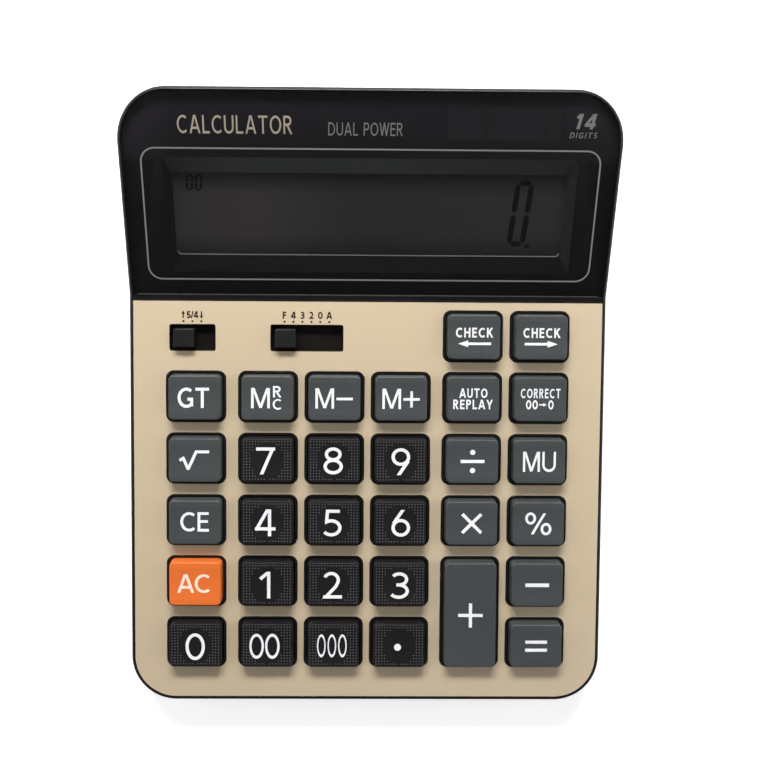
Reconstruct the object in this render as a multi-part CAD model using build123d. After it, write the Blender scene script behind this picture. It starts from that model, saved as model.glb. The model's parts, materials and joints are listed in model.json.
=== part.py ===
from build123d import *
import os
from math import cos, radians, sin, tan

# Desk calculator with a low, gently sloped key deck and a steeper display head.
# All sizes are in millimetres and degrees. X runs across the keys, Y from the front edge
# towards the display, Z up. The origin is the centre of the footprint, level with the table.

# Housing
WIDTH = 155.5
LENGTH = 196.0
R_FRONT = 14.8
R_REAR = 15.8
WALL = 2.2
FLOOR = 2.0
FOOT_PROUD = 1.2
DECK_Z0 = 13.5
DECK_FRONT = 0.5
DECK_ANGLE = 3.88
DECK_RUN = 132.95
HEAD_ANGLE = 23.82
EDGE_R = 0.9
HEAD_EDGE_R = 1.4
BOTTOM_BEVEL = 1.6
PARTING_W = -7.0
TONGUE = 1.0
TONGUE_RISE = 1.5
TONGUE_ROOT = 1.5
TONGUE_BITE = 0.4
BOSS_TOP_W = -1.0
BOSS_TOP_H = -3.0

# Construction allowances: overlap where shapes join, reach of a cutter through a wall, and
# the half size of a block that stands for all space
LAP = 0.1
MERGE = 0.5
CUT = 6.0
BIG = 400.0

# Face plate and deck wall, measured along the deck normal w (w = 0 is the plate's face)
RIM = 1.15
SLIP = 0.1
PLATE_T = 0.8
PLATE_S0 = 0.8
PLATE_S1 = 132.3
DECK_WALL_W = -2.6
HOLE_W = 19.7
HOLE_D = 17.09
HOLE_R = 2.7
TALL_D = 37.6
COLLAR_TOP_W = -0.12
COLLAR_IN_W = 18.05
COLLAR_IN_D = 15.75
COLLAR_IN_R = 2.2

# Keys
COLUMNS = [-56.17, -32.64, -10.89, 10.83, 34.23, 56.07]
ROWS = [121.25, 101.09, 80.70, 60.22, 39.83, 19.30]
KEY_W = 17.55
KEY_D = 15.15
KEY_R = 1.9
KEY_TOP_W = 3.9
KEY_TAPER = 3.4
KEY_EDGE_R = 0.5
KEY_SKIN = 1.3
DISH_DEPTH = 0.22
DISH_MARGIN = 2.0
FLANGE_TOP_W = -2.75
FLANGE_T = 0.8
FLANGE_W = 18.6
FLANGE_D = 16.3
FLANGE_R = 2.3
PLUNGER_R = 2.0
PLUNGER_END_W = -4.3

# Keypad sheet and main board
SHEET_TOP_W = -5.9
SHEET_T = 0.7
DOME_TOP_W = -4.35
DOME_R = 4.4
DOME_TOP_R = 2.6
DOME_SKIN = 0.5
DOME_CONTACT = 0.3
SHEET_INSET = 1.0
BOARD_TOP_W = -6.65
BOARD_T = 1.2
BOARD_HALF_W = 66.8
BOARD_S0 = 7.0
BOARD_S1 = 131.0
POST_R = 1.9
POST_XS = [-44.4, 22.53]
POST_SS = [29.56, 70.46, 111.17]

# Slide switches
SLOT_S0 = 116.0
SLOT_S1 = 124.8
SLOT_R = 0.7
ROUNDING_SLOT = (-64.85, -49.77)
DECIMAL_SLOT = (-31.95, -8.1)
KNOB_W = 6.7
KNOB_D = 6.0
KNOB_R = 0.5
KNOB_INSET = 1.7
KNOB_TOP_W = 2.8
KNOB_EDGE_R = 0.45
SHUTTER_T = 0.6
SHUTTER_D = 10.4
SHUTTER_STEP = 0.2
SHUTTER_TAILS = {"rounding": (3.0, 8.8, 8.8), "decimal": (9.8, 7.3, 16.2)}
STEM_W = 2.4
STEM_D = 4.0
WIPER_W = 2.0
WIPER_D = 5.0
WIPER_T = 0.4
WIPER_TOP_W = -5.7
WIPER_TIP_GAP = 0.15

# Display head, measured on the head face: t up the slope from the deck, h along its normal
PANEL_T0 = 1.0
PANEL_T1 = 67.7
PANEL_T = 2.0
MASK_T = 0.15
HEAD_WALL_H = -4.2
WINDOW_HALF_W = 64.7
WINDOW_T0 = 8.8
WINDOW_T1 = 46.3
WINDOW_R = 1.2
FRAME_HALF_W = 66.5
FRAME_T0 = 6.9
FRAME_T1 = 48.2
LCD_VIEW_HALF_W = 62.3
LCD_VIEW_T0 = 13.2
LCD_VIEW_T1 = 40.7
FUNNEL_H = -5.0
LCD_FACE_H = -5.2
LCD_HALF_W = 64.4
LCD_T0 = 10.0
LCD_T1 = 43.6
LCD_T = 2.4
LCD_LEDGE = 3.2
REFLECTOR_T = 0.3
CONNECTOR_INSET = 3.0
CONNECTOR_TS = (10.6, 12.6)
DISPLAY_BOARD_H = -10.4
DISPLAY_BOARD_HALF_W = 66.4
DISPLAY_BOARD_T0 = 2.4
DISPLAY_BOARD_T1 = 52.6
DISPLAY_POSTS = [(-62.0, 4.7), (62.0, 4.7), (-62.0, 50.2), (62.0, 50.2)]
DISPLAY_POST_R = 2.2
SOLAR_X = (23.0, 59.4)
SOLAR_TS = (51.7, 63.3)
SOLAR_T = 1.1
SOLAR_BORDER = 0.4
SOLAR_SLIP = 0.3
SOLAR_LEAD_XS = (36.0, 46.0)
SOLAR_LEAD_R = 0.45
CHIP_T = 27.0
CHIP_R = 11.0
CHIP_RISE = 1.8
CAPACITOR_XS = (24.0, 30.0, 36.0)
CAPACITOR_T = 20.0
CAPACITOR_R = 2.0
CAPACITOR_L = 5.0
RIBBON_W = 24.0
RIBBON_T = 0.25

# Screws, feet and battery
CASE_SCREWS = [(-70.3, -78.0), (70.3, -78.0), (-70.3, 18.0), (70.3, 18.0), (-70.3, 82.0), (70.3, 82.0)]
CASE_BOSS_R = 3.0
CASE_SCREW_R = 1.2
CASE_SCREW_L = 8.0
CASE_HEAD_R = 2.3
CASE_HEAD_T = 1.8
CASE_SEAT = 4.2
CASE_BORE_R = 2.6
CASE_TIP_GAP = 0.4
BOARD_SCREW_R = 0.8
BOARD_SCREW_L = 4.6
BOARD_HEAD_R = 1.7
BOARD_HEAD_T = 1.1
SCREW_SLIP = 0.1
SCREW_CROWN = 0.4
DRIVE_DEPTH = 0.5
DRIVE_L = 1.1
DRIVE_W = 0.3
FOOT_R = 4.6
FOOT_SINK = 0.9
FOOT_EDGE_R = 0.4
FEET = [(-61.0, -83.0), (61.0, -83.0), (-61.0, 80.0), (61.0, 80.0)]
CELL_R = 7.1
CELL_L = 49.2
CELL_NUB_R = 2.7
CELL_NUB_L = 1.2
CELL_Y = 76.0
CELL_Z = 11.5
CELL_SLIP = 0.4
CONTACT_HALF_W = 5.5
CONTACT_T = 0.5
CONTACT_RISE = 2.0
BUTTON_R = 2.2
SPRING_R = 3.4
SPRING_TURNS = 3
SPRING_CONE = -8
SPRING_WIRE_R = 0.4
BATTERY_LEAD_R = 0.5
BAY_HALF_W = 31.5
BAY_WALL = 1.4
BAY_TOP_Z = 17.5
BAY_SIDE = 2.0
HATCH_HALF_W = 27.0
HATCH_SLIP = 0.3
CRADLE_TOP_Z = 9.5
PAD_HALF_W = 35.0
PAD_Y0 = 61.5
PAD_TOP_Z = 4.2
DOOR_HALF_W = 28.0
DOOR_Y0 = 66.0
DOOR_T = 1.6
DOOR_TONGUE = 1.6
DOOR_TONGUE_T = 0.7
DOOR_SLIP = 0.15
GRIP_COUNT = 4
GRIP_Y0 = 83.0
GRIP_PITCH = 2.4
GRIP_W = 1.2
GRIP_HALF_L = 9.0
GRIP_DEPTH = 0.5

DECK_Y0 = -LENGTH / 2 + DECK_FRONT
DECK = Plane(
    origin=(0, DECK_Y0, DECK_Z0),
    x_dir=(1, 0, 0),
    z_dir=(0, -sin(radians(DECK_ANGLE)), cos(radians(DECK_ANGLE))),
).location
HEAD_Y0 = DECK_Y0 + DECK_RUN * cos(radians(DECK_ANGLE))
HEAD_Z0 = DECK_Z0 + DECK_RUN * sin(radians(DECK_ANGLE))
HEAD = Plane(
    origin=(0, HEAD_Y0, HEAD_Z0),
    x_dir=(1, 0, 0),
    z_dir=(0, -sin(radians(HEAD_ANGLE)), cos(radians(HEAD_ANGLE))),
).location


def block(x0, x1, y0, y1, z0, z1):
    """An axis-aligned box between two corners."""
    return Pos((x0 + x1) / 2, (y0 + y1) / 2, (z0 + z1) / 2) * Box(x1 - x0, y1 - y0, z1 - z0)


def slab(width, depth, radius, z0, z1):
    """A rounded rectangle between two heights."""
    return Pos(0, 0, z0) * extrude(RectangleRounded(width, depth, radius), z1 - z0)


def rod(x, y, z0, z1, radius):
    """An upright cylinder between two heights."""
    return Pos(x, y, (z0 + z1) / 2) * Cylinder(radius, z1 - z0)


def footprint(inset):
    """The housing's outline on the table, moved inwards."""
    outline = Rectangle(WIDTH - 2 * inset, LENGTH - 2 * inset)
    outline = fillet(outline.vertices().group_by(Axis.Y)[0], R_FRONT - inset)
    return fillet(outline.vertices().group_by(Axis.Y)[-1], R_REAR - inset)


def column(inset):
    """The outline extruded past the top and bottom of the housing."""
    return Pos(0, 0, -BIG / 20) * extrude(footprint(inset), BIG / 4)


def under_deck(w):
    """Everything below a plane parallel to the deck."""
    return DECK * block(-BIG, BIG, -BIG, BIG, w - BIG, w)


def under_head(h):
    """Everything below a plane parallel to the display head."""
    return HEAD * block(-BIG, BIG, -BIG, BIG, h - BIG, h)


def parting_z(y):
    """Height of the parting plane between the two halves of the case."""
    rise = (y - DECK_Y0) * tan(radians(DECK_ANGLE))
    return DECK_Z0 + rise + PARTING_W / cos(radians(DECK_ANGLE))


def key_sites():
    """Each key's name, column, centre along the slope and opening depth."""
    names = [
        [None, None, None, None, "key_check_back", "key_check_next"],
        ["key_grand_total", "key_memory_recall", "key_memory_minus", "key_memory_plus",
         "key_auto_replay", "key_correct"],
        ["key_square_root", "key_7", "key_8", "key_9", "key_divide", "key_mark_up"],
        ["key_clear_entry", "key_4", "key_5", "key_6", "key_multiply", "key_percent"],
        ["key_all_clear", "key_1", "key_2", "key_3", "key_plus", "key_minus"],
        ["key_0", "key_00", "key_000", "key_point", None, "key_equals"],
    ]
    sites = []
    for row, row_names in enumerate(names):
        for col, name in enumerate(row_names):
            if name == "key_plus":
                sites.append((name, COLUMNS[col], (ROWS[4] + ROWS[5]) / 2, TALL_D))
            elif name:
                sites.append((name, COLUMNS[col], ROWS[row], HOLE_D))
    return sites


KEYS = key_sites()
KEY_SHRINK = HOLE_D - KEY_D
SLOTS = {"rounding": ROUNDING_SLOT, "decimal": DECIMAL_SLOT}


def housing():
    """The outside of the closed case: key deck and display head in one body."""
    deck_end = HEAD_Y0 + 2 * CUT
    deck = column(0) & under_deck(0) & block(-BIG, BIG, -BIG, deck_end, FOOT_PROUD, BIG)
    deck_face = deck.faces().sort_by(Axis.Z)[-1]
    rims = [e for e in deck_face.edges() if e.center().Y < deck_end - LAP]
    deck = fillet(rims, EDGE_R)
    head = column(0) & under_head(0) & block(-BIG, BIG, HEAD_Y0, BIG, FOOT_PROUD, BIG)
    head_face = head.faces().sort_by(Axis.Z)[-1]
    rims = [e for e in head_face.edges() if e.center().Y > HEAD_Y0 + LAP]
    head = fillet(rims, HEAD_EDGE_R)
    body = deck + head
    base = body.faces().filter_by(Axis.Z).sort_by(Axis.Z)[0]
    return chamfer(base.edges(), BOTTOM_BEVEL)


def cavity():
    """The hollow inside the closed case."""
    room = under_deck(DECK_WALL_W) + under_head(HEAD_WALL_H)
    return column(WALL) & room & block(-BIG, BIG, -BIG, BIG, FOOT_PROUD + FLOOR, BIG)


def plate_blank(inset, s_end, w0, w1):
    """The face plate's outline between two heights over the deck."""
    reach = DECK * block(-BIG, BIG, PLATE_S0 - PLATE_T - SLIP, s_end, w0, w1)
    return column(inset) & reach


def panel_blank(inset, t_start, h0, h1):
    """The display panel's outline between two heights over the head face."""
    return column(inset) & (HEAD * block(-BIG, BIG, t_start, BIG, h0, h1))


def at_key(x, s, shape):
    """Puts a shape on the deck over a key site."""
    return DECK * Pos(x, s, 0) * shape


def slot_block(side, grow, w0, w1):
    """A switch slot's opening between two heights."""
    x0, x1 = SLOTS[side]
    width = x1 - x0 + 2 * grow
    depth = SLOT_S1 - SLOT_S0 + 2 * grow
    return DECK * Pos((x0 + x1) / 2, (SLOT_S0 + SLOT_S1) / 2, 0) * slab(width, depth, SLOT_R, w0, w1)


def solar_block(grow, h0, h1):
    """The solar cell's outline between two heights over the head face, before it is placed."""
    (x0, x1), (t0, t1) = SOLAR_X, SOLAR_TS
    return block(x0 - grow, x1 + grow, t0 - grow, t1 + grow, h0, h1)


def top_case(shell, hollow):
    """The upper half: deck wall with a collar round every key, head wall, posts and bosses."""
    body = (shell - hollow) - under_deck(PARTING_W)
    body -= plate_blank(RIM, PLATE_S1 + SLIP, -PLATE_T, BIG / 10)
    body -= panel_blank(RIM, PANEL_T0 - SLIP, -(PANEL_T + MASK_T), BIG / 10)
    collars = []
    for name, x, s, depth in KEYS:
        outer = slab(HOLE_W - 2 * SLIP, depth - 2 * SLIP, HOLE_R - SLIP, -PLATE_T - MERGE, COLLAR_TOP_W)
        collars.append(at_key(x, s, outer))
    posts = [DECK * rod(x, s, BOARD_TOP_W, DECK_WALL_W + MERGE, POST_R) for x in POST_XS for s in POST_SS]
    posts += [
        HEAD * rod(x, t, DISPLAY_BOARD_H, HEAD_WALL_H + MERGE, DISPLAY_POST_R) for x, t in DISPLAY_POSTS
    ]
    for x, y in CASE_SCREWS:
        boss = rod(x, y, 0, BIG / 4, CASE_BOSS_R) - under_deck(PARTING_W)
        posts.append(boss & (under_deck(BOSS_TOP_W) + under_head(BOSS_TOP_H)))
    body = body + collars + posts
    cuts = []
    for name, x, s, depth in KEYS:
        inner = slab(COLLAR_IN_W, COLLAR_IN_D + depth - HOLE_D, COLLAR_IN_R, -CUT, CUT)
        cuts.append(at_key(x, s, inner))
    for side in SLOTS:
        cuts.append(slot_block(side, -2 * SLIP, -CUT, CUT))
    for x in POST_XS:
        for s in POST_SS:
            cuts.append(DECK * rod(x, s, BOARD_TOP_W - MERGE, DECK_WALL_W + LAP, BOARD_SCREW_R + SCREW_SLIP))
    for x, t in DISPLAY_POSTS:
        cuts.append(HEAD * rod(x, t, DISPLAY_BOARD_H - MERGE, HEAD_WALL_H, BOARD_SCREW_R + SCREW_SLIP))
    for x, y in CASE_SCREWS:
        tip = parting_z(y) - CASE_SEAT + CASE_SCREW_L + CASE_TIP_GAP
        cuts.append(rod(x, y, 0, tip, CASE_SCREW_R + SCREW_SLIP))
    frame_gap = FRAME_HALF_W + 2 * SLIP
    cuts.append(HEAD * block(-frame_gap, frame_gap, FRAME_T0 - 2 * SLIP, FRAME_T1 + 2 * SLIP, -CUT, CUT))
    cuts.append(HEAD * solar_block(SOLAR_SLIP, -CUT, CUT))
    return body - cuts


def bottom_case(shell, hollow):
    """The lower half: floor, tongue round the rim, screw bosses, battery bay and door track."""
    body = (shell - hollow) & under_deck(PARTING_W)
    ring = column(WALL + SLIP) - column(WALL + SLIP + TONGUE)
    below = under_deck(PARTING_W - TONGUE_ROOT)
    tongue = ring & under_deck(PARTING_W + TONGUE_RISE) - below
    root = (column(WALL - TONGUE_BITE) - column(WALL + SLIP + TONGUE)) & under_deck(PARTING_W)
    root -= below
    floor = FOOT_PROUD + FLOOR
    extras = [tongue, root]
    for x, y in CASE_SCREWS:
        extras.append(rod(x, y, floor - MERGE, BIG / 8, CASE_BOSS_R) & under_deck(PARTING_W - SLIP / 2))
    rear = LENGTH / 2 - WALL / 2
    extras.append(block(-PAD_HALF_W, PAD_HALF_W, PAD_Y0, rear, floor - MERGE, PAD_TOP_Z))
    for side in (-1, 1):
        x_in, x_out = sorted((side * BAY_HALF_W, side * (BAY_HALF_W + BAY_WALL)))
        wall_y = CELL_R + BAY_SIDE
        extras.append(block(x_in, x_out, CELL_Y - wall_y, CELL_Y + wall_y, floor, BAY_TOP_Z))
        y_in = CELL_Y + side * (CELL_R + CELL_SLIP)
        y0, y1 = sorted((y_in, y_in + side * BAY_WALL))
        extras.append(block(-BAY_HALF_W, BAY_HALF_W, y0, y1, floor, CRADLE_TOP_Z))
    body = body + extras
    door_gap = DOOR_HALF_W + DOOR_SLIP
    tongue_gap = door_gap + DOOR_TONGUE
    door_top = FOOT_PROUD + DOOR_T + DOOR_SLIP
    track_low = door_top - DOOR_TONGUE_T - 2 * DOOR_SLIP
    hatch = CELL_R + HATCH_SLIP
    cuts = [
        block(-door_gap, door_gap, DOOR_Y0 - DOOR_SLIP, LENGTH, 0, door_top),
        block(-tongue_gap, tongue_gap, DOOR_Y0 - DOOR_SLIP, LENGTH, track_low, door_top),
        block(-HATCH_HALF_W, HATCH_HALF_W, CELL_Y - hatch, CELL_Y + hatch, 0, PAD_TOP_Z + MERGE),
    ]
    for x, y in CASE_SCREWS:
        seat = parting_z(y) - CASE_SEAT
        cuts.append(rod(x, y, 0, seat, CASE_BORE_R))
        cuts.append(rod(x, y, 0, BIG / 8, CASE_SCREW_R + SCREW_SLIP))
    for x, y in FEET:
        cuts.append(rod(x, y, 0, FOOT_PROUD + FOOT_SINK, FOOT_R + SLIP / 2))
    return body - cuts


def face_plate():
    """The thin anodised plate with an opening for every key and switch."""
    blank = plate_blank(RIM + SLIP, PLATE_S1, -PLATE_T, 0)
    cuts = [at_key(x, s, slab(HOLE_W, depth, HOLE_R, -CUT, CUT)) for name, x, s, depth in KEYS]
    cuts += [slot_block(side, 0, -CUT, CUT) for side in SLOTS]
    return blank - cuts


def key_cap(depth):
    """A hollow tapered cap with a shallow dish, a retaining flange and a plunger."""
    height = KEY_TOP_W - FLANGE_TOP_W
    cap_depth = depth - KEY_SHRINK
    outline = RectangleRounded(KEY_W, cap_depth, KEY_R)
    cap = Pos(0, 0, FLANGE_TOP_W) * extrude(outline, height, taper=KEY_TAPER)
    cap = fillet(cap.faces().sort_by(Axis.Z)[-1].edges(), KEY_EDGE_R)
    top_inset = height * tan(radians(KEY_TAPER))
    half = cap_depth / 2 - top_inset - DISH_MARGIN
    radius = half * half / (2 * DISH_DEPTH) + DISH_DEPTH / 2
    dish = Pos(0, 0, KEY_TOP_W - DISH_DEPTH + radius) * Rot(0, 90, 0) * Cylinder(radius, KEY_W * 2)
    cap -= dish
    core_w = KEY_W - 2 * KEY_SKIN - 2 * top_inset
    core_d = cap_depth - 2 * KEY_SKIN - 2 * top_inset
    flange_low = FLANGE_TOP_W - FLANGE_T
    cap += slab(FLANGE_W, cap_depth - KEY_D + FLANGE_D, FLANGE_R, flange_low, FLANGE_TOP_W)
    ceiling = KEY_TOP_W - 2 * KEY_SKIN
    cap -= slab(core_w, core_d, KEY_R, flange_low - MERGE, ceiling)
    half_pitch = (ROWS[4] - ROWS[5]) / 2
    spread = [0] if depth == HOLE_D else [-half_pitch, half_pitch]
    plungers = [rod(0, y, PLUNGER_END_W, ceiling + 2 * LAP, PLUNGER_R) for y in spread]
    return cap + plungers


def knob_x(side):
    """Centre of a switch knob in its left-hand position."""
    return SLOTS[side][0] + KNOB_INSET + KNOB_W / 2


def switch_knob(side):
    """A square thumb piece with the shutter that hides the inside of its slot."""
    x = knob_x(side)
    s = (SLOT_S0 + SLOT_S1) / 2
    low, thick, high = SHUTTER_TAILS[side]
    shutter_top = FLANGE_TOP_W
    cap = slab(KNOB_W, KNOB_D, KNOB_R, shutter_top - LAP, KNOB_TOP_W)
    cap = fillet(cap.faces().sort_by(Axis.Z)[-1].edges(), KNOB_EDGE_R)
    start = -KNOB_W / 2 - low
    half = SHUTTER_D / 2
    bottom = shutter_top - SHUTTER_T
    shutter = block(start, KNOB_W / 2 + thick, -half, half, bottom, shutter_top)
    shutter += block(start, KNOB_W / 2 + high, -half, half, bottom, shutter_top - SHUTTER_STEP)
    stem = block(-STEM_W / 2, STEM_W / 2, -STEM_D / 2, STEM_D / 2, WIPER_TOP_W, shutter_top - LAP)
    return DECK * Pos(x, s, 0) * (cap + shutter + stem)


def switch_wiper(side):
    """The bent brass contact under a switch knob."""
    x = knob_x(side)
    s = (SLOT_S0 + SLOT_S1) / 2
    contact = BOARD_TOP_W + WIPER_TIP_GAP
    half_w, half_d = WIPER_W / 2, WIPER_D / 2
    strip = block(-half_w, half_w, -half_d, half_d, WIPER_TOP_W - WIPER_T, WIPER_TOP_W)
    for end in (-1, 1):
        y0, y1 = sorted((end * half_d, end * (half_d - WIPER_T)))
        strip += block(-half_w, half_w, y0, y1, contact, WIPER_TOP_W)
    return DECK * Pos(x, s, 0) * strip


def dome(x, s):
    """One hollow rubber dome standing on the keypad sheet."""
    rise = DOME_TOP_W - SHEET_TOP_W
    return Pos(x, s, SHEET_TOP_W + rise / 2 - LAP) * Cone(DOME_R, DOME_TOP_R, rise + 2 * LAP)


def dome_hollow(x, s):
    """The air space under one dome."""
    bottom = SHEET_TOP_W - SHEET_T - 2 * LAP
    top = DOME_TOP_W - DOME_SKIN - DOME_CONTACT
    hollow = Cone(DOME_R - DOME_SKIN, DOME_TOP_R - DOME_SKIN / 2, top - bottom)
    return Pos(x, s, (bottom + top) / 2) * hollow


def dome_sites():
    """Where the keypad has a dome: one for each key, two for the tall one."""
    sites = []
    for name, x, s, depth in KEYS:
        if name == "key_plus":
            sites += [(x, ROWS[4]), (x, ROWS[5])]
        else:
            sites.append((x, s))
    return sites


def wiper_track(side):
    """The space that a switch's wiper would sweep from end to end of the slot."""
    x0 = SLOTS[side][0] + (KNOB_W - WIPER_W) / 2
    x1 = SLOTS[side][1] - (KNOB_W - WIPER_W) / 2
    s = (SLOT_S0 + SLOT_S1) / 2
    half = WIPER_D / 2 + 4 * SLIP
    return block(x0, x1, s - half, s + half, -2 * CUT, 0)


def rubber_keypad():
    """One silicone sheet with a dome under every key."""
    s0, s1 = BOARD_S0 + SHEET_INSET, BOARD_S1 - SHEET_INSET
    sheet = block(-BOARD_HALF_W, BOARD_HALF_W, s0, s1, SHEET_TOP_W - SHEET_T, SHEET_TOP_W)
    sheet = sheet + [dome(x, s) for x, s in dome_sites()]
    cuts = [dome_hollow(x, s) for x, s in dome_sites()]
    cuts += [rod(x, s, -2 * CUT, 0, POST_R + 3 * SLIP) for x in POST_XS for s in POST_SS]
    cuts += [wiper_track(side) for side in SLOTS]
    return DECK * (sheet - cuts)


def main_board():
    """The circuit board that closes the contacts under the keypad."""
    board = block(
        -BOARD_HALF_W, BOARD_HALF_W, BOARD_S0, BOARD_S1, BOARD_TOP_W - BOARD_T, BOARD_TOP_W
    )
    holes = [rod(x, s, -2 * CUT, 0, BOARD_SCREW_R + SCREW_SLIP) for x in POST_XS for s in POST_SS]
    return DECK * (board - holes)


def display_panel():
    """The clear acrylic sheet that covers the whole head."""
    blank = panel_blank(RIM + SLIP, PANEL_T0, -PANEL_T, 0)
    limit = HEAD * block(-BIG, BIG, -BIG, PANEL_T1, -BIG, BIG)
    return blank & limit


def panel_mask():
    """The black film behind the acrylic, clear over the display and the solar cell."""
    film = panel_blank(RIM + SLIP, PANEL_T0, -PANEL_T - MASK_T, -PANEL_T)
    film &= HEAD * block(-BIG, BIG, -BIG, PANEL_T1, -BIG, BIG)
    middle = (WINDOW_T0 + WINDOW_T1) / 2
    window = Pos(0, middle, 0) * slab(2 * WINDOW_HALF_W, WINDOW_T1 - WINDOW_T0, WINDOW_R, -CUT, CUT)
    solar = solar_block(-SOLAR_BORDER, -CUT, CUT)
    return film - [HEAD * window, HEAD * solar]


def lcd_frame():
    """The black frame that slopes down to the glass and holds it with a skirt."""
    top = -(PANEL_T + MASK_T)
    outer = block(-FRAME_HALF_W, FRAME_HALF_W, FRAME_T0, FRAME_T1, DISPLAY_BOARD_H, top)
    middle_top = (WINDOW_T0 + WINDOW_T1) / 2
    middle_low = (LCD_VIEW_T0 + LCD_VIEW_T1) / 2
    mouth = Pos(0, middle_top, top) * RectangleRounded(2 * WINDOW_HALF_W, WINDOW_T1 - WINDOW_T0, WINDOW_R)
    throat = Pos(0, middle_low, FUNNEL_H) * RectangleRounded(
        2 * LCD_VIEW_HALF_W, LCD_VIEW_T1 - LCD_VIEW_T0, WINDOW_R
    )
    funnel = loft([mouth, throat])
    neck = Pos(0, middle_low, 0) * slab(
        2 * LCD_VIEW_HALF_W, LCD_VIEW_T1 - LCD_VIEW_T0, WINDOW_R, LCD_FACE_H - MERGE, FUNNEL_H + LAP
    )
    pocket = block(
        -LCD_HALF_W - SLIP, LCD_HALF_W + SLIP, LCD_T0 - SLIP, LCD_T1 + SLIP,
        DISPLAY_BOARD_H - MERGE, LCD_FACE_H,
    )
    return HEAD * (outer - funnel - neck - pocket)


def lcd_glass():
    """The two bonded glass plates of the liquid-crystal display."""
    return HEAD * block(-LCD_HALF_W, LCD_HALF_W, LCD_T0, LCD_T1, LCD_FACE_H - LCD_T, LCD_FACE_H)


def lcd_reflector():
    """The grey reflecting film behind the glass."""
    top = LCD_FACE_H - LCD_T
    return HEAD * block(-LCD_HALF_W, LCD_HALF_W, LCD_T0 + LCD_LEDGE, LCD_T1, top - REFLECTOR_T, top)


def lcd_connector():
    """The striped rubber strip that carries the signals from board to glass."""
    top = LCD_FACE_H - LCD_T
    half = LCD_HALF_W - CONNECTOR_INSET
    return HEAD * block(-half, half, *CONNECTOR_TS, DISPLAY_BOARD_H, top)


def display_board():
    """The board behind the display."""
    low = DISPLAY_BOARD_H - BOARD_T
    half = DISPLAY_BOARD_HALF_W
    board = block(-half, half, DISPLAY_BOARD_T0, DISPLAY_BOARD_T1, low, DISPLAY_BOARD_H)
    top = DISPLAY_BOARD_H + MERGE
    holes = [rod(x, t, low - MERGE, top, BOARD_SCREW_R + SCREW_SLIP) for x, t in DISPLAY_POSTS]
    return HEAD * (board - holes)


def controller_chip():
    """The epoxy blob over the processor, on the back of the display board."""
    low = DISPLAY_BOARD_H - BOARD_T
    blob = Pos(0, CHIP_T, low + CHIP_R - CHIP_RISE) * Sphere(CHIP_R)
    return HEAD * (blob & block(-BIG, BIG, -BIG, BIG, low - CHIP_RISE, low))


def capacitors():
    """Three small electrolytic capacitors on the back of the display board."""
    low = DISPLAY_BOARD_H - BOARD_T
    cans = [rod(x, CAPACITOR_T, low - CAPACITOR_L, low, CAPACITOR_R) for x in CAPACITOR_XS]
    return HEAD * Compound(children=cans)


def solar_cell():
    """The amorphous cell behind its window in the mask."""
    top = -(PANEL_T + MASK_T)
    return HEAD * solar_block(0, top - SOLAR_T, top)


def wire(points, radius):
    """A thin lead bent through a list of points."""
    path = Spline(*points)
    start = Plane(origin=path @ 0, z_dir=path % 0)
    return sweep(start * Circle(radius), path=path)


def on_head(x, t, h):
    """A point on or under the head face, as case coordinates."""
    return (HEAD * Pos(x, t, h)).position


def solar_leads():
    """Two leads from the cell to the display board, round the board's upper edge."""
    top = -(PANEL_T + MASK_T) - SOLAR_T - 0.5
    leads = []
    for x in SOLAR_LEAD_XS:
        end_t = DISPLAY_BOARD_T1 - 4
        points = [
            on_head(x, 60, top),
            on_head(x, 57, top - 4),
            on_head(x, DISPLAY_BOARD_T1 + 2.0, DISPLAY_BOARD_H - 0.6),
            on_head(x, DISPLAY_BOARD_T1 - 1, DISPLAY_BOARD_H - BOARD_T - 1.8),
            on_head(x, end_t, DISPLAY_BOARD_H - BOARD_T - 0.8),
        ]
        leads.append(wire(points, SOLAR_LEAD_R))
    return Compound(children=leads)


def ribbon_cable():
    """The flat cable between the two boards."""
    start = (DECK * Pos(0, BOARD_S1 - 5, BOARD_TOP_W - BOARD_T - 0.2)).position
    over = (DECK * Pos(0, BOARD_S1 + 3, BOARD_TOP_W - BOARD_T - 2.2)).position
    end = on_head(0, DISPLAY_BOARD_T0 + 6, DISPLAY_BOARD_H - BOARD_T - 0.3)
    near = on_head(0, DISPLAY_BOARD_T0 + 1, DISPLAY_BOARD_H - BOARD_T - 1.5)
    path = Spline(start, over, near, end)
    section = Plane(origin=path @ 0, x_dir=(1, 0, 0), z_dir=path % 0) * Rectangle(RIBBON_W, RIBBON_T)
    return sweep(section, path=path)


def battery_cell():
    """One AA cell lying across the case."""
    can = Pos(0, CELL_Y, CELL_Z) * Rot(0, 90, 0) * Cylinder(CELL_R, CELL_L)
    nub_x = CELL_L / 2 + CELL_NUB_L / 2
    return can + Pos(nub_x, CELL_Y, CELL_Z) * Rot(0, 90, 0) * Cylinder(CELL_NUB_R, CELL_NUB_L)


def contact_plate(x0):
    """An upright contact plate at one end of the battery bay."""
    y0, y1 = CELL_Y - CONTACT_HALF_W, CELL_Y + CONTACT_HALF_W
    return block(x0, x0 + CONTACT_T, y0, y1, CELL_Z - CONTACT_HALF_W, BAY_TOP_Z + CONTACT_RISE)


def battery_spring():
    """The coil that presses on the cell's flat end, with its back plate."""
    plate_x = -BAY_HALF_W
    coil_start = plate_x + CONTACT_T + 3 * LAP
    length = -CELL_L / 2 - SPRING_WIRE_R - coil_start
    spiral = Helix(pitch=length / SPRING_TURNS, height=length, radius=SPRING_R, cone_angle=SPRING_CONE)
    spiral = Pos(coil_start, CELL_Y, CELL_Z) * Rot(0, 90, 0) * spiral
    coil = sweep(Plane(origin=spiral @ 0, z_dir=spiral % 0) * Circle(SPRING_WIRE_R), path=spiral)
    return coil + contact_plate(plate_x)


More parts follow.
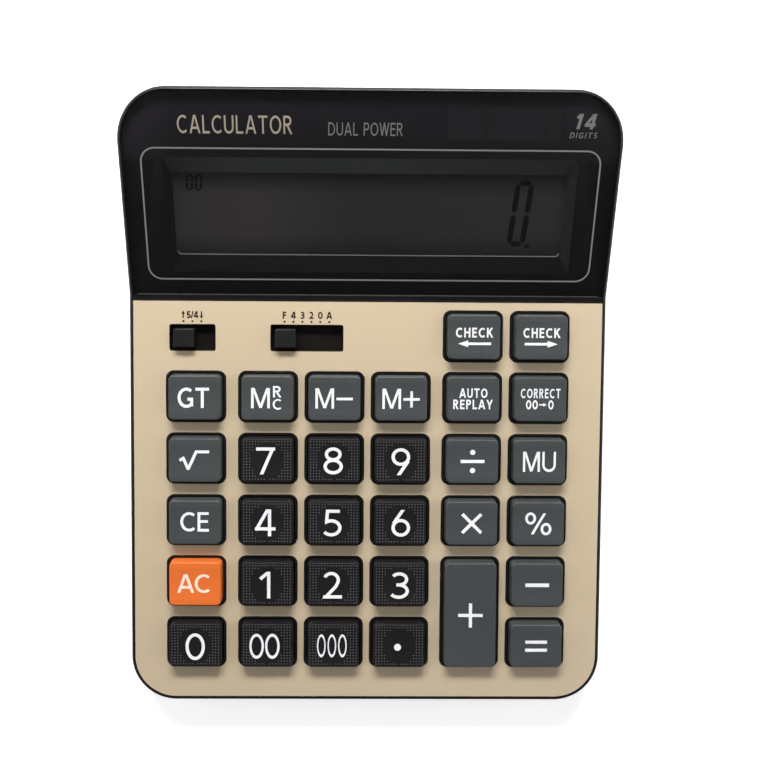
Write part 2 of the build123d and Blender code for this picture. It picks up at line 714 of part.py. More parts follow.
def battery_contact():
    """The flat plate with a button that meets the cell's raised end."""
    inner = CELL_L / 2 + CELL_NUB_L + LAP
    outer = BAY_HALF_W - 3 * LAP
    button = Pos((inner + outer) / 2, CELL_Y, CELL_Z) * Rot(0, 90, 0) * Cylinder(BUTTON_R, outer - inner)
    return contact_plate(BAY_HALF_W - CONTACT_T) + button


def battery_leads():
    """Two leads from the contacts up to the display board."""
    leads = []
    for side in (-1, 1):
        x = side * (BAY_HALF_W - CONTACT_T / 2)
        points = [
            Vector(x, CELL_Y, BAY_TOP_Z + CONTACT_RISE + BATTERY_LEAD_R),
            Vector(side * 28, 70, 22),
            on_head(side * 24, 30, DISPLAY_BOARD_H - BOARD_T - 2.5),
            on_head(side * 22, 26, DISPLAY_BOARD_H - BOARD_T - 0.6),
        ]
        leads.append(wire(points, BATTERY_LEAD_R))
    return Compound(children=leads)


def battery_door():
    """The cover that slides out backwards under the battery."""
    low = FOOT_PROUD
    top = low + DOOR_T
    door = block(-DOOR_HALF_W, DOOR_HALF_W, DOOR_Y0, LENGTH / 2, low, top)
    wide = DOOR_HALF_W + DOOR_TONGUE
    door += block(-wide, wide, DOOR_Y0, LENGTH / 2 - WALL - 2 * SLIP, top - DOOR_TONGUE_T, top)
    for step in range(GRIP_COUNT):
        y = GRIP_Y0 + GRIP_PITCH * step
        door -= block(-GRIP_HALF_L, GRIP_HALF_L, y, y + GRIP_W, 0, low + GRIP_DEPTH)
    return door


def rubber_feet():
    """Four round feet set into the floor."""
    feet = []
    for x, y in FEET:
        foot = rod(x, y, 0, FOOT_PROUD + FOOT_SINK, FOOT_R)
        feet.append(fillet(foot.faces().sort_by(Axis.Z)[0].edges(), FOOT_EDGE_R))
    return Compound(children=feet)


def screw(shank_r, length, head_r, head_t):
    """A pan-head screw pointing up, its seat at the origin."""
    body = rod(0, 0, -head_t, 0, head_r)
    body = fillet(body.faces().sort_by(Axis.Z)[0].edges(), head_t * SCREW_CROWN)
    body += rod(0, 0, -LAP, length, shank_r)
    depth = 2 * head_t * DRIVE_DEPTH
    body -= Pos(0, 0, -head_t) * Box(head_r * DRIVE_L, head_r * DRIVE_W, depth)
    return body - Pos(0, 0, -head_t) * Box(head_r * DRIVE_W, head_r * DRIVE_L, depth)


def case_screws():
    """The screws that close the case from below."""
    one = screw(CASE_SCREW_R, CASE_SCREW_L, CASE_HEAD_R, CASE_HEAD_T)
    return Compound(children=[Pos(x, y, parting_z(y) - CASE_SEAT) * one for x, y in CASE_SCREWS])


def board_screws():
    """The small screws that hold both boards to their posts."""
    one = screw(BOARD_SCREW_R, BOARD_SCREW_L, BOARD_HEAD_R, BOARD_HEAD_T)
    low = BOARD_TOP_W - BOARD_T
    screws = [DECK * Pos(x, s, low) * one for x in POST_XS for s in POST_SS]
    low = DISPLAY_BOARD_H - BOARD_T
    screws += [HEAD * Pos(x, t, low) * one for x, t in DISPLAY_POSTS]
    return Compound(children=screws)


def build():
    """Every node of the calculator by name."""
    shell = housing()
    hollow = cavity()
    nodes = {
        "top_case": top_case(shell, hollow),
        "bottom_case": bottom_case(shell, hollow),
        "face_plate": face_plate(),
        "display_panel": display_panel(),
        "panel_mask": panel_mask(),
        "lcd_frame": lcd_frame(),
        "lcd_glass": lcd_glass(),
        "lcd_reflector": lcd_reflector(),
        "lcd_connector": lcd_connector(),
        "display_board": display_board(),
        "controller_chip": controller_chip(),
        "capacitors": capacitors(),
        "solar_cell": solar_cell(),
        "solar_leads": solar_leads(),
        "ribbon_cable": ribbon_cable(),
        "main_board": main_board(),
        "rubber_keypad": rubber_keypad(),
        "battery_cell": battery_cell(),
        "battery_spring": battery_spring(),
        "battery_contact": battery_contact(),
        "battery_leads": battery_leads(),
        "battery_door": battery_door(),
        "rubber_feet": rubber_feet(),
        "case_screws": case_screws(),
        "board_screws": board_screws(),
    }
    for side in SLOTS:
        nodes[side + "_knob"] = switch_knob(side)
        nodes[side + "_wiper"] = switch_wiper(side)
    single = key_cap(HOLE_D)
    tall = key_cap(TALL_D)
    for name, x, s, depth in KEYS:
        cap = single if depth == HOLE_D else tall
        nodes[name] = at_key(x, s, cap)
    return nodes


os.makedirs("parts", exist_ok=True)
for node, shape in build().items():
    export_step(shape, "parts/" + node + ".step")
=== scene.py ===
import json
import math

import bmesh
import bpy
from mathutils import Matrix, Vector
from mathutils.bvhtree import BVHTree
from mathutils.geometry import convex_hull_2d, delaunay_2d_cdt


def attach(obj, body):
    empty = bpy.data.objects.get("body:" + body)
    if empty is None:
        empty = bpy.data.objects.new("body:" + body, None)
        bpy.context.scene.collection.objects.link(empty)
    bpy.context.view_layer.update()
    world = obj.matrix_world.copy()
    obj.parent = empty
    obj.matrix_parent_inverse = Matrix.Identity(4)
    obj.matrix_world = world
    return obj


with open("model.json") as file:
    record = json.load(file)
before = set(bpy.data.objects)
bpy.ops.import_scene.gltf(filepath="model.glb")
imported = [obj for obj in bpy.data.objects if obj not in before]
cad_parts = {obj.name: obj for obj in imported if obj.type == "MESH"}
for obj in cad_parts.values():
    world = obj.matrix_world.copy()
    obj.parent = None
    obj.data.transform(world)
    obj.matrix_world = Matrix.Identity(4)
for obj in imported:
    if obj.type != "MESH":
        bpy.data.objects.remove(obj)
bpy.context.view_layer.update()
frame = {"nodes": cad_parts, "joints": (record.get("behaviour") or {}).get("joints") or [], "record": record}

MM = 0.001
NODES = frame["nodes"]

# ---------------------------------------------------------------- the two sloping faces
KEY_AXIS = next(j["axis"] for j in frame["joints"] if j["name"] == "key_7_press")
DECK_TILT = math.atan2(KEY_AXIS[1], -KEY_AXIS[2])
HEAD_TILT = math.radians(23.82)


class Slope:
    """A plane tilted about X: u across, v up the slope, w along its normal, all in millimetres.

    v0 is where the node that gives the slope begins, w0 is the height of its face.
    """

    def __init__(self, tilt, node):
        self.turn = Matrix.Rotation(tilt, 3, "X")
        local = [self.local(v.co) for v in NODES[node].data.vertices]
        self.v0 = min(p.y for p in local)
        self.w0 = max(p.z for p in local)

    def local(self, point):
        return self.turn.transposed() @ Vector(point) / MM

    def world(self, u, v, w):
        return self.turn @ Vector((u, v, w)) * MM

    def normal(self):
        return self.turn @ Vector((0, 0, 1))

    def centre(self, node):
        """Middle of a node across and up this slope."""
        local = [self.local(v.co) for v in NODES[node].data.vertices]
        us = [p.x for p in local]
        vs = [p.y for p in local]
        return (min(us) + max(us)) / 2, (min(vs) + max(vs)) / 2


DECK = Slope(DECK_TILT, "face_plate")
HEAD = Slope(HEAD_TILT, "display_panel")

# ---------------------------------------------------------------- node materials


class Mat:
    """A small builder for procedural materials."""

    def __init__(self, name):
        self.mat = bpy.data.materials.new(name)
        self.mat.use_nodes = True
        self.tree = self.mat.node_tree
        self.tree.nodes.clear()
        self.out = self.add("ShaderNodeOutputMaterial")
        self.coord = self.add("ShaderNodeTexCoord").outputs["Object"]

    def add(self, kind, **values):
        node = self.tree.nodes.new(kind)
        for key, value in values.items():
            setattr(node, key, value)
        return node

    def link(self, source, target):
        self.tree.links.new(source, target)

    def noise(self, scale, detail=3.0, stretch=(1, 1, 1), rough=0.5):
        mapping = self.add("ShaderNodeMapping")
        mapping.inputs["Scale"].default_value = stretch
        self.link(self.coord, mapping.inputs["Vector"])
        node = self.add("ShaderNodeTexNoise")
        node.inputs["Scale"].default_value = scale
        node.inputs["Detail"].default_value = detail
        node.inputs["Roughness"].default_value = rough
        self.link(mapping.outputs["Vector"], node.inputs["Vector"])
        return node.outputs["Fac"]

    def ramp(self, source, low, high, start=0.3, end=0.7):
        """A value or colour that runs from low to high as the source does."""
        node = self.add("ShaderNodeValToRGB")
        for element, value, place in zip(node.color_ramp.elements, (low, high), (start, end)):
            colour = value if hasattr(value, "__len__") else (value, value, value)
            element.color = (*colour[:3], 1)
            element.position = place
        self.link(source, node.inputs["Fac"])
        return node.outputs["Color"]

    def along(self, axis, *stops):
        """A colour that changes along an axis of the object, as (metres, red, green, blue) stops."""
        low, high = stops[0][0], stops[-1][0]
        split = self.add("ShaderNodeSeparateXYZ")
        self.link(self.coord, split.inputs["Vector"])
        place = self.add("ShaderNodeMapRange")
        place.inputs["From Min"].default_value = low
        place.inputs["From Max"].default_value = high
        self.link(split.outputs[axis], place.inputs["Value"])
        node = self.add("ShaderNodeValToRGB")
        elements = node.color_ramp.elements
        for k, (position, *colour) in enumerate(stops):
            share = (position - low) / (high - low)
            inner = 0 < k < len(stops) - 1
            element = elements.new(share) if inner else elements[-1 if k else 0]
            element.position = share
            element.color = (*colour, 1)
        self.link(place.outputs["Result"], node.inputs["Fac"])
        return node.outputs["Color"]

    def blend(self, first, second):
        """Two colours multiplied."""
        node = self.add("ShaderNodeMix", data_type="RGBA", blend_type="MULTIPLY")
        node.inputs["Factor"].default_value = 1.0
        self.link(first, node.inputs["A"])
        self.link(second, node.inputs["B"])
        return node.outputs["Result"]

    def bump(self, source, strength, distance):
        node = self.add("ShaderNodeBump")
        node.inputs["Strength"].default_value = strength
        node.inputs["Distance"].default_value = distance
        self.link(source, node.inputs["Height"])
        return node

    def shader(self, colour, rough, normal=None, **plain):
        """The Principled shader, fed by a colour, a roughness and maybe a normal."""
        node = self.add("ShaderNodeBsdfPrincipled")
        self.link(colour, node.inputs["Base Color"])
        self.link(rough, node.inputs["Roughness"])
        if normal:
            self.link(normal.outputs["Normal"], node.inputs["Normal"])
        for key, value in plain.items():
            node.inputs[key.replace("_", " ")].default_value = value
        self.link(node.outputs["BSDF"], self.out.inputs["Surface"])
        return node


def scaled(colour, factor):
    return tuple(min(1.0, c * factor) for c in colour)


def moulded(name, colour, rough=(0.34, 0.44), grain=0.12, spread=0.06, **plain):
    """Moulded plastic: a fine spark-eroded grain, slow colour drift and uneven gloss."""
    m = Mat(name)
    drift = m.noise(45.0, 3.0)
    fine = m.noise(2600.0, 2.0, rough=0.6)
    tint = m.ramp(drift, scaled(colour, 1 - spread), scaled(colour, 1 + spread))
    gloss = m.ramp(m.noise(120.0, 4.0), rough[0], rough[1], 0.25, 0.75)
    m.shader(tint, gloss, m.bump(fine, grain, 0.00004), **plain)
    return m.mat


def printed(name, colour, rough=(0.42, 0.55), **plain):
    """Pad-printed ink, slightly uneven in cover and gloss."""
    m = Mat(name)
    cover = m.noise(900.0, 4.0)
    tint = m.ramp(cover, scaled(colour, 0.93), scaled(colour, 1.0), 0.3, 0.6)
    m.shader(tint, m.ramp(m.noise(300.0), rough[0], rough[1]), m.bump(cover, 0.15, 0.00002), **plain)
    return m.mat


def metal(name, colour, rough=(0.22, 0.38)):
    """Metal with fine surface marks."""
    m = Mat(name)
    marks = m.noise(700.0, 5.0, rough=0.65)
    tint = m.ramp(m.noise(60.0), scaled(colour, 0.94), scaled(colour, 1.04))
    m.shader(tint, m.ramp(marks, rough[0], rough[1]), m.bump(marks, 0.12, 0.00002), Metallic=1.0)
    return m.mat


def anodised_plate():
    """Champagne-gold satin plate: bead-blasted, then anodised."""
    m = Mat("plate_gold_satin")
    drift = m.noise(14.0, 2.0, (1.0, 0.35, 1.0))
    blast = m.noise(3800.0, 3.0, rough=0.7)
    streak = m.noise(900.0, 3.0, (1.0, 0.02, 1.0), 0.6)
    base = m.ramp(drift, (0.642, 0.523, 0.360), (0.674, 0.556, 0.391), 0.25, 0.75)
    tone = m.ramp(streak, (0.985, 0.985, 0.985), (1.0, 1.0, 1.0), 0.3, 0.7)
    gloss = m.ramp(blast, 0.40, 0.52)
    m.shader(m.blend(base, tone), gloss, m.bump(blast, 0.10, 0.00002), Metallic=0.35)
    return m.mat


def clear_sheet():
    """Clear acrylic: light passes straight through, and the polished faces mirror a little."""
    m = Mat("acrylic_clear")
    smear = m.noise(30.0, 4.0)
    clear = m.add("ShaderNodeBsdfTransparent")
    clear.inputs["Color"].default_value = (0.96, 0.965, 0.97, 1)
    shine = m.add("ShaderNodeBsdfGlossy")
    m.link(m.ramp(smear, 0.035, 0.075), shine.inputs["Roughness"])
    facing = m.add("ShaderNodeLayerWeight")
    facing.inputs["Blend"].default_value = 0.5
    mix = m.add("ShaderNodeMixShader")
    curve = m.add("ShaderNodeMath", operation="POWER")
    curve.inputs[1].default_value = 5.0
    m.link(facing.outputs["Facing"], curve.inputs[0])
    m.link(m.ramp(curve.outputs["Value"], 0.024, 0.9, 0.0, 1.0), mix.inputs["Fac"])
    m.link(clear.outputs["BSDF"], mix.inputs[1])
    m.link(shine.outputs["BSDF"], mix.inputs[2])
    m.link(mix.outputs["Shader"], m.out.inputs["Surface"])
    return m.mat


def grey(place, value):
    """A neutral stop for Mat.along."""
    return place, value, value, value


def lcd_face():
    """The display's polariser: dark warm grey, with painted light: lighter to the left as a painted
    highlight, and darker along its long edges as painted shade from the frame around it.
    """
    m = Mat("lcd_polariser_painted_light")
    cloud = m.noise(9.0, 1.0)
    # painted highlight: lighter towards the left of the display
    across = m.along("X", (-0.062, 0.030, 0.027, 0.026), (-0.036, 0.036, 0.033, 0.031),
                     (-0.005, 0.0225, 0.0205, 0.0205), (0.062, 0.0265, 0.0245, 0.0250))
    # painted shade: darker at the front and rear edges, next to the frame
    up = m.along("Y", grey(0.0490, 0.35), grey(0.0560, 1), grey(0.0680, 1), grey(0.0740, 0.4))
    m.shader(m.blend(across, up), m.ramp(cloud, 0.42, 0.5), Specular_IOR_Level=0.2)
    return m.mat


def mask_film():
    """The black screen print behind the acrylic, with painted light: painted lighter towards the rear and
    sides, standing in for light reflected across the glossy head.
    """
    m = Mat("film_black_painted_light")
    # painted light: lighter towards the rear, up the head
    up = m.along("Y", (0.036, 0.0040, 0.0044, 0.0050), (0.062, 0.0062, 0.0066, 0.0078),
                 (0.078, 0.0140, 0.0125, 0.0150), (0.094, 0.0300, 0.0255, 0.0310))
    # painted light: lighter towards both sides
    sides = m.along("X", grey(-0.075, 1.0), grey(-0.060, 0.50), grey(0.0, 0.5), grey(0.060, 0.58),
                    grey(0.075, 0.8))
    m.shader(m.blend(up, sides), m.ramp(m.noise(90.0), 0.5, 0.6), Specular_IOR_Level=0.1)
    return m.mat


def frame_flanks():
    """Satin frame plastic with painted light: painted greyest on the flank that faces the user and the left,
    black on the one opposite, and painted darker towards both ends as painted shade.
    """
    m = Mat("frame_black_painted_light")
    split = m.add("ShaderNodeSeparateXYZ")
    m.link(m.add("ShaderNodeTexCoord").outputs["Normal"], split.inputs["Vector"])
    side = m.add("ShaderNodeMath", operation="MULTIPLY")
    side.inputs[1].default_value = 0.2
    m.link(split.outputs["X"], side.inputs[0])
    lean = m.add("ShaderNodeMath", operation="ADD")
    m.link(side.outputs["Value"], lean.inputs[0])
    m.link(split.outputs["Y"], lean.inputs[1])
    flip = m.add("ShaderNodeMath", operation="MULTIPLY")
    flip.inputs[1].default_value = -1.0
    m.link(lean.outputs["Value"], flip.inputs[0])
    # painted light: each flank is lighter or darker by which way it faces
    tint = m.ramp(flip.outputs["Value"], (0.0036, 0.0036, 0.0039), (0.056, 0.058, 0.060), 0.0, 0.75)
    # painted shade: darker towards both ends of the frame
    ends = m.along("X", grey(-0.066, 0.5), grey(-0.045, 0.9), grey(0.0, 1), grey(0.066, 0.62))
    m.shader(m.blend(tint, ends), m.ramp(m.noise(90.0), 0.6, 0.7), Specular_IOR_Level=0.04)
    return m.mat


def slider():
    """Switch plastic, browner low down where the shutter runs under the plate, and painted darker there as
    painted shade in the slot.
    """
    m = Mat("slider_black_painted_shade")
    # painted shade: darker low down, in the slot under the plate
    tint = m.along("Z", (0.0190, 0.0042, 0.0026, 0.0020), (0.0225, 0.0085, 0.0092, 0.0096))
    m.shader(tint, m.ramp(m.noise(120.0), 0.45, 0.55), m.bump(m.noise(2600.0, 2.0), 0.15, 0.00004),
             Specular_IOR_Level=0.18)
    return m.mat


def solar_face():
    """Amorphous cell: dark violet-brown strips behind glass, with thin conductor lines between."""
    m = Mat("solar_strips")
    wave = m.add("ShaderNodeTexWave", wave_type="BANDS", bands_direction="X", wave_profile="SAW")
    wave.inputs["Scale"].default_value = 17.5
    wave.inputs["Distortion"].default_value = 0.0
    m.link(m.coord, wave.inputs["Vector"])
    strips = m.ramp(wave.outputs["Fac"], (0.0135, 0.0112, 0.0135), (0.008, 0.007, 0.008), 0.965, 0.985)
    m.shader(strips, m.ramp(m.noise(80.0), 0.4, 0.5), Specular_IOR_Level=0.2)
    return m.mat


def circuit():
    """Green solder mask with lighter copper tracks under it."""
    m = Mat("circuit_green")
    cells = m.add("ShaderNodeTexBrick")
    cells.inputs["Scale"].default_value = 160.0
    cells.inputs["Mortar Size"].default_value = 0.03
    cells.inputs["Color1"].default_value = (0.012, 0.10, 0.035, 1)
    cells.inputs["Color2"].default_value = (0.016, 0.12, 0.045, 1)
    cells.inputs["Mortar"].default_value = (0.05, 0.24, 0.10, 1)
    m.link(m.coord, cells.inputs["Vector"])
    gloss = m.ramp(m.noise(200.0), 0.25, 0.4)
    m.shader(cells.outputs["Color"], gloss, m.bump(m.noise(900.0), 0.1, 0.00003))
    return m.mat


def striped(name, dark, light, scale):
    """Alternate fine stripes across X, as in a conductive strip or a flat cable."""
    m = Mat(name)
    wave = m.add("ShaderNodeTexWave", wave_type="BANDS", bands_direction="X")
    wave.inputs["Scale"].default_value = scale
    m.link(m.coord, wave.inputs["Vector"])
    m.shader(m.ramp(wave.outputs["Fac"], dark, light, 0.45, 0.55), m.ramp(m.noise(300.0), 0.5, 0.7))
    return m.mat


BLACK_ABS = moulded("case_black_abs", (0.0066, 0.0062, 0.0068), rough=(0.38, 0.48), grain=0.10,
                    Specular_IOR_Level=0.28)
MATERIALS = {
    "case_plastic": BLACK_ABS,
    "gold_aluminium": anodised_plate(),
    "acrylic": clear_sheet(),
    "black_film": mask_film(),
    "frame_plastic": frame_flanks(),
    "lcd_glass": lcd_face(),
    "grey_film": moulded("reflector_grey", (0.045, 0.043, 0.042), rough=(0.5, 0.6), grain=0.05),
    "striped_rubber": striped("zebra_strip", (0.02, 0.02, 0.02), (0.45, 0.45, 0.45), 900.0),
    "circuit_board": circuit(),
    "epoxy": moulded("epoxy_black", (0.008, 0.008, 0.008), rough=(0.18, 0.3), grain=0.03),
    "capacitor_can": metal("can_aluminium", (0.55, 0.56, 0.58)),
    "solar_glass": solar_face(),
    "lead_insulation": moulded("vinyl_red", (0.42, 0.025, 0.02), grain=0.04),
    "ribbon_film": striped("ribbon_grey", (0.32, 0.32, 0.31), (0.55, 0.55, 0.53), 500.0),
    "silicone": moulded("silicone_grey", (0.16, 0.16, 0.165), rough=(0.55, 0.7), grain=0.1),
    "cell_wrap": moulded("cell_wrap_blue", (0.03, 0.06, 0.16), rough=(0.2, 0.3), grain=0.02),
    "plated_steel": metal("nickel_plate", (0.62, 0.61, 0.58), rough=(0.15, 0.3)),
    "foot_rubber": moulded("foot_rubber_black", (0.018, 0.018, 0.018), rough=(0.7, 0.85), grain=0.35),
    "screw_steel": metal("zinc_steel", (0.48, 0.48, 0.47), rough=(0.25, 0.4)),
    "knob_plastic": slider(),
    "wiper_brass": metal("spring_brass", (0.75, 0.55, 0.22)),
    "orange_plastic": moulded("key_orange", (0.650, 0.140, 0.024), rough=(0.42, 0.52), spread=0.03,
                              Specular_IOR_Level=0.35),
    "black_key_plastic": moulded("key_black", (0.0066, 0.0060, 0.0074), rough=(0.50, 0.60),
                                 Specular_IOR_Level=0.22),
    "grey_key_plastic": moulded("key_grey", (0.0455, 0.0510, 0.0540), rough=(0.44, 0.54), spread=0.05,
                                Specular_IOR_Level=0.35),
}
INK_WHITE = printed("ink_white", (0.77, 0.78, 0.81))
INK_WARM = printed("ink_warm_white", (0.80, 0.66, 0.54))
INK_SILVER = printed("ink_silver", (0.255, 0.255, 0.26), rough=(0.3, 0.4))
INK_GREY = printed("ink_grey", (0.20, 0.20, 0.205))
INK_CREAM = printed("ink_cream", (0.42, 0.36, 0.28))
INK_BROWN = printed("ink_brown", (0.032, 0.020, 0.012), Specular_IOR_Level=0.2)
INK_DOT = printed("key_pin_grey", (0.120, 0.125, 0.135))
INK_LCD = printed("lcd_segment", (0.0030, 0.0026, 0.0030), rough=(0.6, 0.7), Specular_IOR_Level=0.05)
# painted highlight: a pale grey line that stands in for light caught by the frame's lower lip
LIP_HIGHLIGHT = printed("frame_lip_painted_highlight", (0.24, 0.24, 0.245), rough=(0.25, 0.35))
# painted highlight: a grey line that stands in for light caught by the clear sheet's cut edge
EDGE_HIGHLIGHT = printed("panel_edge_painted_highlight", (0.075, 0.080, 0.075), rough=(0.25, 0.35))

for entry in frame["record"]["subparts"]:
    data = NODES[entry["node"]].data
    data.materials.clear()
    data.materials.append(MATERIALS[entry["material_slot"]])

# ---------------------------------------------------------------- drawing in strokes


def arc(cx, cy, rx, ry, start, end):
    """Points along an ellipse, from one angle in degrees to another."""
    steps = max(2, int(abs(end - start) / 9))
    turns = [math.radians(start + (end - start) * k / steps) for k in range(steps + 1)]
    return [(cx + rx * math.cos(a), cy + ry * math.sin(a)) for a in turns]


def clipped(polygon, low, high):
    """A convex polygon cut to a band of heights."""
    for limit, sign in ((low, 1), (high, -1)):
        kept = []
        for (x0, y0), (x1, y1) in zip(polygon, polygon[1:] + polygon[:1]):
            d0 = sign * (y0 - limit)
            d1 = sign * (y1 - limit)
            if d0 >= 0:
                kept.append((x0, y0))
            if d0 * d1 < 0:
                t = d0 / (d0 - d1)
                kept.append((x0 + (x1 - x0) * t, y0 + (y1 - y0) * t))
        polygon = kept
        if len(polygon) < 3:
            return []
    return polygon


def ribbon(points, width, closed=False):
    """Convex quads that follow a line of points, mitred at its corners."""
    pts = [Vector(p) for p in points]
    count = len(pts)
    sides = []
    for k, p in enumerate(pts):
        before = pts[k - 1] if k or closed else None
        after = pts[(k + 1) % count] if k < count - 1 or closed else None
        ways = [(p - before).normalized()] if before is not None else []
        ways += [(after - p).normalized()] if after is not None else []
        mean = sum(ways, Vector((0, 0)))
        mean = mean.normalized() if mean.length > 1e-6 else ways[0]
        across = Vector((-mean.y, mean.x))
        reach = width / 2 / max(0.3, abs(across.dot(Vector((-ways[0].y, ways[0].x)))))
        sides.append((p + across * reach, p - across * reach))
    quads = []
    for k in range(count if closed else count - 1):
        corners = [*sides[k], *sides[(k + 1) % count]]
        quads.append([tuple(corners[i]) for i in convex_hull_2d(corners)])
    return quads


def disc(cx, cy, radius, steps=20):
    turns = [2 * math.pi * k / steps for k in range(steps)]
    return [[(cx + radius * math.cos(a), cy + radius * math.sin(a)) for a in turns]]


def long_line(a, b, before=0.25, after=0.25):
    """A line run on past its ends, for strokes that are then cut level."""
    a, b = Vector(a), Vector(b)
    way = (b - a).normalized()
    return [tuple(a - way * before), tuple(b + way * after)]


def bowl(h, x, right, top, bottom):
    """The rounded part of a P, R or D, from its stem and back."""
    mid = (top + bottom) / 2
    half = (top - bottom) / 2 - h
    bend = arc(x, mid, right - x - h, half, 84, -84)
    return [(h, top - h), (x, top - h)] + bend + [(x, bottom + h), (h, bottom + h)]


def glyph(sign, w):
    """Strokes of one sign and its width, for a cap height of 1 and strokes w wide."""
    h = w / 2
    stem = [(h, 0), (h, 1)]
    table = {
        "A": ([long_line((0.07, 0), (0.39, 1)), long_line((0.75, 0), (0.43, 1)),
               [(0.17, 0.30), (0.65, 0.30)]], 0.82),
        "C": ([arc(0.45, 0.5, 0.45 - h, 0.5 - h, 50, 310)], 0.76),
        "D": ([stem, bowl(h, 0.30, 0.76, 1, 0)], 0.76),
        "E": ([stem, [(h, 1 - h), (0.56, 1 - h)], [(h, 0.52), (0.52, 0.52)], [(h, h), (0.56, h)]], 0.56),
        "F": ([stem, [(h, 1 - h), (0.56, 1 - h)], [(h, 0.50), (0.50, 0.50)]], 0.56),
        "G": ([arc(0.45, 0.5, 0.45 - h, 0.5 - h, 50, 305) + [(0.79 - h, 0.10)],
               [(0.50, 0.50 - h), (0.79 - h, 0.50 - h), (0.79 - h, 0.08)]], 0.80),
        "H": ([stem, [(0.72 - h, 0), (0.72 - h, 1)], [(h, 0.52), (0.72 - h, 0.52)]], 0.72),
        "I": ([stem], w),
        "K": ([stem, long_line((h, 0.34), (0.58, 1), 0), long_line((0.26, 0.60), (0.64, 0), 0)], 0.68),
        "L": ([stem, [(h, h), (0.54, h)]], 0.54),
        "M": ([stem, [(0.90 - h, 0), (0.90 - h, 1)], long_line((h * 1.7, 1), (0.45, 0.03), 0.2, 0),
               long_line((0.90 - h * 1.7, 1), (0.45, 0.03), 0.2, 0)], 0.90),
        "O": ([(arc(0.43, 0.5, 0.43 - h, 0.5 - h, 0, 351), True)], 0.86),
        "P": ([stem, bowl(h, 0.32, 0.60, 1, 0.42)], 0.60),
        "R": ([stem, bowl(h, 0.32, 0.60, 1, 0.45),
               long_line((0.30, 0.48), (0.64 - h * 0.8, 0), 0)], 0.66),
        "S": ([arc(0.30, 0.75 - h / 2, 0.29 - h, 0.25 - h / 2, 28, 262)
               + arc(0.30, 0.25 + h / 2, 0.30 - h, 0.25 - h / 2, 82, -150)], 0.60),
        "T": ([[(0, 1 - h), (0.70, 1 - h)], [(0.35, 0), (0.35, 1)]], 0.70),
        "U": ([[(h, 1)] + arc(0.36, 0.34, 0.36 - h, 0.34 - h, 180, 360) + [(0.72 - h, 1)]], 0.72),
        "W": ([long_line((0.04, 1), (0.28, 0)), long_line((0.28, 0), (0.52, 1)),
               long_line((0.52, 1), (0.76, 0)), long_line((0.76, 0), (1.0, 1))], 1.04),
        "Y": ([long_line((0.35, 0.40), (0.05, 1), 0), long_line((0.35, 0.40), (0.65, 1), 0),
               [(0.35, 0), (0.35, 0.45)]], 0.70),
        "0": ([(arc(0.37, 0.5, 0.37 - h, 0.5 - h, 0, 351), True)], 0.74),
        "1": ([[(0.48 - h, 0), (0.48 - h, 1)], [(0.48 - h * 1.7, 0.955), (0.11, 0.72)]], 0.60),
        "2": ([long_line((0.52, 0.46), (0.09, 0), 0, 0.2)[::-1]
               + arc(0.34, 0.69, 0.32 - h, 0.31 - h, -28, 156),
               [(0.045, h), (0.74, h)]], 0.74),
        "3": ([arc(0.33, 0.76 - h / 2, 0.33 - h, 0.24 - h / 2, 146, -84) + [(0.22, 0.52)],
               [(0.22, 0.52)] + arc(0.31, 0.26 + h / 2, 0.38 - h, 0.26 - h / 2, 84, -145)], 0.69),
        "4": ([long_line((0.06, 0.22), (0.50, 1), 0), [(0.03, 0.27), (0.78, 0.27)],
               [(0.56, 0), (0.56, 1)]], 0.78),
        "5": ([[(0.66, 1 - h), (0.20, 1 - h), (0.17, 0.55)]
               + arc(0.34, 0.32, 0.38 - h, 0.32 - h, 122, -142)], 0.73),
        "6": ([(arc(0.345, 0.33, 0.345 - h, 0.33 - h, 0, 351), True),
               long_line((0.07, 0.48), (0.42, 1), 0)], 0.69),
        "7": ([[(0.02, 1 - h), (0.72, 1 - h)], long_line((0.72 - h * 1.15, 1), (0.22, 0))], 0.72),
        "8": ([(arc(0.35, 0.765 - h * 0.4, 0.31 - h, 0.235 - h * 0.6, 0, 351), True),
               (arc(0.35, 0.265 + h * 0.4, 0.355 - h, 0.265 - h * 0.6, 0, 351), True)], 0.70),
        "9": ([(arc(0.345, 0.67, 0.345 - h, 0.33 - h, 0, 351), True),
               long_line((0.62, 0.52), (0.27, 0), 0)], 0.69),
        "/": ([long_line((0.04, 0), (0.34, 1))], 0.38),
        " ": ([], 0.30),
    }
    return table[sign]


def drawn(strokes, w, band=(0.0, 1.0)):
    """Polygons for a list of strokes, cut level at the base line and cap height."""
    polygons = []
    for stroke in strokes:
        points, closed = stroke if isinstance(stroke, tuple) else (stroke, False)
        for quad in ribbon(points, w, closed):
            quad = clipped(quad, *band)
            if len(quad) > 2:
                polygons.append(quad)
    return polygons


def moved(polygons, dx=0.0, dy=0.0, sx=1.0, sy=1.0, slant=0.0):
    return [[(x * sx + dx + y * sy * slant, y * sy + dy) for x, y in p] for p in polygons]


def text(words, height, weight, squeeze=1.0, gap=0.16, slant=0.0):
    """Polygons of a centred line of signs, height and gap in millimetres and cap heights."""
    polygons = []
    pen = 0.0
    for sign in words:
        strokes, width = glyph(sign, weight)
        scale = height * squeeze
        polygons += moved(drawn(strokes, weight), pen * scale, 0, scale, height, slant)
        pen += width + gap
    return moved(polygons, -(pen - gap) * height * squeeze / 2, -height / 2)


def bar(cx, cy, width, height):
    return [[(cx - width / 2, cy - height / 2), (cx + width / 2, cy - height / 2),
             (cx + width / 2, cy + height / 2), (cx - width / 2, cy + height / 2)]]


